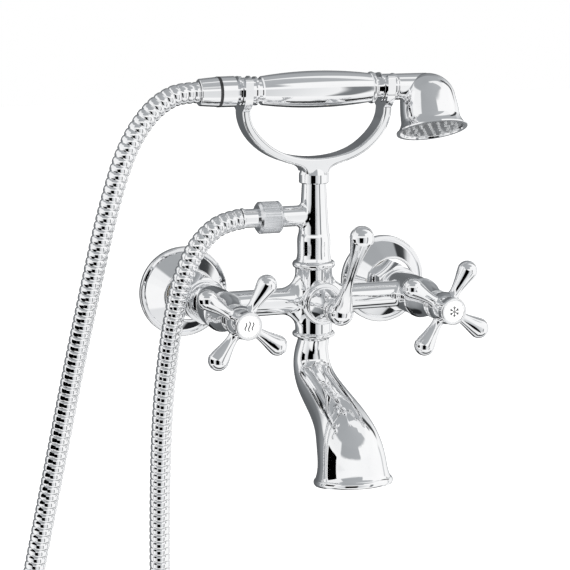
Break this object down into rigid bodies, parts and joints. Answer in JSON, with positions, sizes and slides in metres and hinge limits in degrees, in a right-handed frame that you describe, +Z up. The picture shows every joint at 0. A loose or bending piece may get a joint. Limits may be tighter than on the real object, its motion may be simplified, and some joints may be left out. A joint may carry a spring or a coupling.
{
  "type": "wall mounted bath faucet",
  "caption": "Wall mounted two handle bath faucet with curved spout, lever diverter, and a telephone hand shower on a cradle with its metal hose.",
  "frame": {"origin": "on the wall plane, midway between the axes of the two supply inlets", "axes": "+Z up, +Y into the wall, so the faucet stands out along -Y; +X to the right seen from the front, where the cold handle is"},
  "size_m": [0.3308, 0.1741, 0.622],
  "materials": {
    "chrome": "mirror polished chromium plate on brass",
    "brass": "machined",
    "seal_rubber": "matt moulded rubber",
    "nozzle_rubber": "soft translucent grey",
    "black_plastic": "semi gloss",
    "grey_plastic": "matt",
    "metal_clad_hose": "chromed spiral wound strip over a rubber tube",
    "ceramic": "lapped ceramic",
    "white_enamel": "glossy white",
    "steel": "plain stainless"
  },
  "bodies": {
    "mixer": {"mixer_body": "chrome", "hot_s_union": "brass", "cold_s_union": "brass", "hot_escutcheon": "chrome", "cold_escutcheon": "chrome", "hot_union_nut": "chrome", "cold_union_nut": "chrome", "inlet_washers": "seal_rubber", "tail_pieces": "brass", "hot_headwork": "brass", "cold_headwork": "brass", "hot_fixed_disc": "ceramic", "cold_fixed_disc": "ceramic", "seat_seals": "seal_rubber", "hot_bell_cover": "chrome", "cold_bell_cover": "chrome", "spindle_seals": "seal_rubber", "diverter_bonnet": "chrome", "spout": "chrome", "spigot_seals": "seal_rubber", "flow_straightener": "chrome", "straightener_screen": "grey_plastic", "riser_column": "chrome", "cradle": "chrome", "cradle_grub_screw": "steel", "knurled_hose_nut": "chrome", "outlet_washer": "seal_rubber", "outlet_ferrule": "chrome", "shower_hose": "metal_clad_hose"},
    "hot_handle": {"hot_cross_handle": "chrome", "hot_handle_screw": "steel", "hot_index_cap": "chrome", "hot_index_disc": "white_enamel", "hot_spindle": "brass", "hot_turning_disc": "ceramic"},
    "cold_handle": {"cold_cross_handle": "chrome", "cold_handle_screw": "steel", "cold_index_cap": "chrome", "cold_index_disc": "white_enamel", "cold_spindle": "brass", "cold_turning_disc": "ceramic"},
    "diverter": {"diverter_lever": "chrome", "diverter_rotor": "brass", "lever_grub_screw": "steel"},
    "handset": {"handset_tube": "brass", "handset_grip": "chrome", "grip_left_collar": "chrome", "grip_right_collar": "chrome", "handset_tail_sleeve": "chrome", "tail_ring": "black_plastic", "swivel_nut": "chrome", "handset_washer": "seal_rubber", "handset_ferrule": "chrome", "head_shell": "chrome", "spray_plate": "chrome", "spray_nozzles": "nozzle_rubber", "spray_plate_seal": "seal_rubber"}
  },
  "joints": [
    {"name": "hot_valve_turn", "type": "hinge", "parent": "mixer", "child": "hot_handle", "pos_m": [-0.0715, -0.0595, 0], "axis": [0, -1, 0], "range_deg": [0, 90]},
    {"name": "cold_valve_turn", "type": "hinge", "parent": "mixer", "child": "cold_handle", "pos_m": [0.0715, -0.0595, 0], "axis": [0, 1, 0], "range_deg": [0, 90]},
    {"name": "diverter_turn", "type": "hinge", "parent": "mixer", "child": "diverter", "pos_m": [0, -0.0595, 0], "axis": [0, 1, 0], "range_deg": [0, 180]},
    {"name": "handset_lift", "type": "slide", "parent": "mixer", "child": "handset", "axis": [0, 0, 1], "range_m": [0, 0.04], "deforming": ["shower_hose"]}
  ]
}
